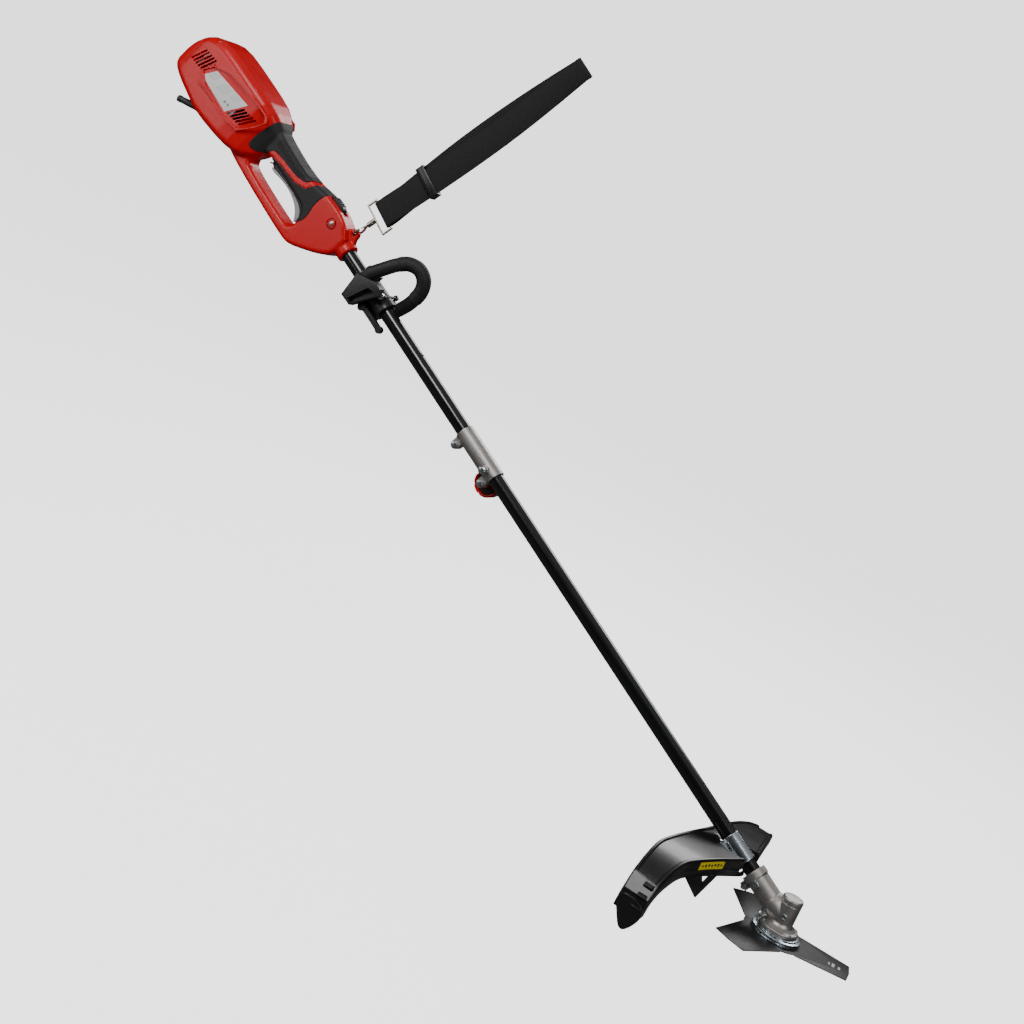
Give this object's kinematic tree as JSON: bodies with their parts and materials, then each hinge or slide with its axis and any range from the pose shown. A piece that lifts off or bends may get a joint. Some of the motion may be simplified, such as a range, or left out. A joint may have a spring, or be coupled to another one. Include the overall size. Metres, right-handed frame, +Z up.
{
  "type": "string trimmer",
  "caption": "Electric straight-shaft trimmer with a grass blade, guard, D loop handle, two-piece tube and motor in the rear handle.",
  "frame": {"origin": "centre of the flat end of the blade nut, the lowest point of the cutting head", "axes": "+Z up along the output spindle, +X forward from the motor to the blade, +Y to the user's left"},
  "size_m": [1.7531, 0.4315, 1.1122],
  "materials": {
    "red_plastic": "semi-gloss moulded",
    "black_rubber": "matte moulded",
    "black_plastic": "satin moulded",
    "gloss_black_plastic": "gloss moulded",
    "painted_tube": "gloss paint",
    "cast_aluminium": "satin cast",
    "zinc": "bright zinc plate",
    "steel": "turned steel",
    "blade_coating": "satin black coating",
    "nickel": "warm nickel plate",
    "grey_plastic": "satin moulded",
    "copper_winding": "varnished wire",
    "motor_iron": "laminated iron",
    "webbing": "woven nylon"
  },
  "bodies": {
    "frame": {"housing_right": "red_plastic", "housing_left": "red_plastic", "rear_cap": "red_plastic", "grip_skin": "black_rubber", "motor_stator": "copper_winding", "motor_bearing_back": "steel", "motor_bearing_front": "steel", "motor_bracket_back": "black_plastic", "motor_bracket_front": "black_plastic", "trigger_pin": "steel", "power_switch": "black_plastic", "cable_sleeve": "black_rubber", "upper_tube": "painted_tube", "liner_bush_upper": "black_rubber", "tube_rivet": "nickel", "tube_coupling": "cast_aluminium", "ear_bolt_back": "zinc", "ear_bolt_front": "zinc", "ear_nut_back": "zinc"},
    "lower_unit": {"lower_tube": "painted_tube", "liner_bush_lower": "black_rubber", "pinion_bearing": "steel", "gearbox_casting": "cast_aluminium", "grease_plug": "zinc", "spindle_upper_bearing": "steel", "spindle_lower_bearing": "steel", "shield_plate": "zinc", "collar_pinch_screw": "steel", "collar_stop_screw": "steel", "guard_shell": "gloss_black_plastic", "guard_skirt": "gloss_black_plastic", "line_cutter_bracket": "gloss_black_plastic", "guard_clamp": "zinc", "guard_screw_right": "zinc", "guard_screw_left": "zinc"},
    "blade": {"output_spindle": "steel", "receiver_drum": "zinc", "grass_blade": "blade_coating", "blade_cup": "blade_coating", "blade_nut": "zinc"},
    "lower_shaft": {"lower_drive_shaft": "steel"},
    "rotor": {"motor_rotor": "motor_iron", "cooling_fan": "black_plastic", "upper_drive_shaft": "steel"},
    "trigger": {"trigger": "grey_plastic"},
    "lock_off_button": {"lock_off_button": "black_plastic"},
    "lock_pin": {"lock_pin": "zinc"},
    "clamp_knob": {"clamp_knob": "red_plastic"},
    "loop": {"handle_saddle": "black_plastic", "loop_handle": "black_rubber", "handle_block": "black_plastic", "loop_bolt": "zinc", "loop_bolt_nut": "nickel", "cam_bolt": "zinc"},
    "release_lever": {"release_lever": "black_plastic"},
    "hook": {"snap_hook": "nickel"},
    "hook_gate": {"hook_gate": "nickel"},
    "ring": {"swivel_ring": "nickel"},
    "strap": {"strap_webbing": "webbing"},
    "slider": {"strap_slider": "black_plastic"}
  },
  "joints": [
    {"name": "tube_pull", "type": "slide", "parent": "frame", "child": "lower_unit", "axis": [0.8942, 0, -0.4478], "range_m": [0, 0.05]},
    {"name": "blade_spin", "type": "hinge", "parent": "lower_unit", "child": "blade", "pos_m": [0, 0, 0.02], "axis": [0, 0, 1], "continuous": true},
    {"name": "lower_shaft_spin", "type": "hinge", "parent": "lower_unit", "child": "lower_shaft", "pos_m": [0, 0, 0.0501], "axis": [0.8942, 0, -0.4478], "continuous": true},
    {"name": "rotor_spin", "type": "hinge", "parent": "frame", "child": "rotor", "pos_m": [-1.3414, 0, 0.72183], "axis": [0.8942, 0, -0.4478], "continuous": true},
    {"name": "trigger_pull", "type": "hinge", "parent": "frame", "child": "trigger", "pos_m": [-1.3788, 0, 0.71818], "axis": [0, 1, 0], "range_deg": [-4, 0], "stiffness_Nm_per_rad": 0.3, "springref_deg": 5.73},
    {"name": "lock_off_push", "type": "slide", "parent": "frame", "child": "lock_off_button", "axis": [0.8942, 0, -0.4478], "range_m": [0, 0.005], "stiffness_N_per_m": 300, "springref_m": -0.003},
    {"name": "lock_pin_pull", "type": "slide", "parent": "frame", "child": "lock_pin", "axis": [0, -1, 0], "range_m": [0, 0.006], "stiffness_N_per_m": 500, "springref_m": -0.004},
    {"name": "knob_turn", "type": "hinge", "parent": "frame", "child": "clamp_knob", "pos_m": [-0.76912, 0.02, 0.40807], "axis": [0, 1, 0], "range_deg": [0, 360]},
    {"name": "loop_slide", "type": "slide", "parent": "frame", "child": "loop", "axis": [0.8942, 0, -0.4478], "range_m": [-0.035, 0.08]},
    {"name": "lever_release", "type": "hinge", "parent": "loop", "child": "release_lever", "pos_m": [-1.09996, -0.017, 0.57374], "axis": [0, 1, 0], "range_deg": [0, 110]},
    {"name": "hook_swing", "type": "hinge", "parent": "frame", "child": "hook", "pos_m": [-1.17803, 0, 0.67468], "axis": [0, 1, 0], "range_deg": [-15, 28]},
    {"name": "gate_open", "type": "hinge", "parent": "hook", "child": "hook_gate", "pos_m": [-1.16353, -0.0018, 0.6965], "axis": [0.8329, 0, -0.5534], "range_deg": [0, 24], "stiffness_Nm_per_rad": 0.001, "springref_deg": -20.05},
    {"name": "ring_swivel", "type": "hinge", "parent": "hook", "child": "ring", "pos_m": [-1.157, 0.002, 0.70633], "axis": [0.5534, 0, 0.8329], "continuous": true},
    {"name": "strap_flop", "type": "hinge", "parent": "ring", "child": "strap", "pos_m": [-1.14239, 0.002, 0.72832], "axis": [0.8329, 0, -0.5534], "range_deg": [-50, 50]},
    {"name": "slider_move", "type": "slide", "parent": "strap", "child": "slider", "axis": [0.5534, 0, 0.8329], "range_m": [-0.07, 0.3]}
  ],
  "couplings": [
    {"joint": "lower_shaft_spin", "follows": "blade_spin", "ratio": -1.4167},
    {"joint": "rotor_spin", "follows": "blade_spin", "ratio": -1.4167}
  ]
}
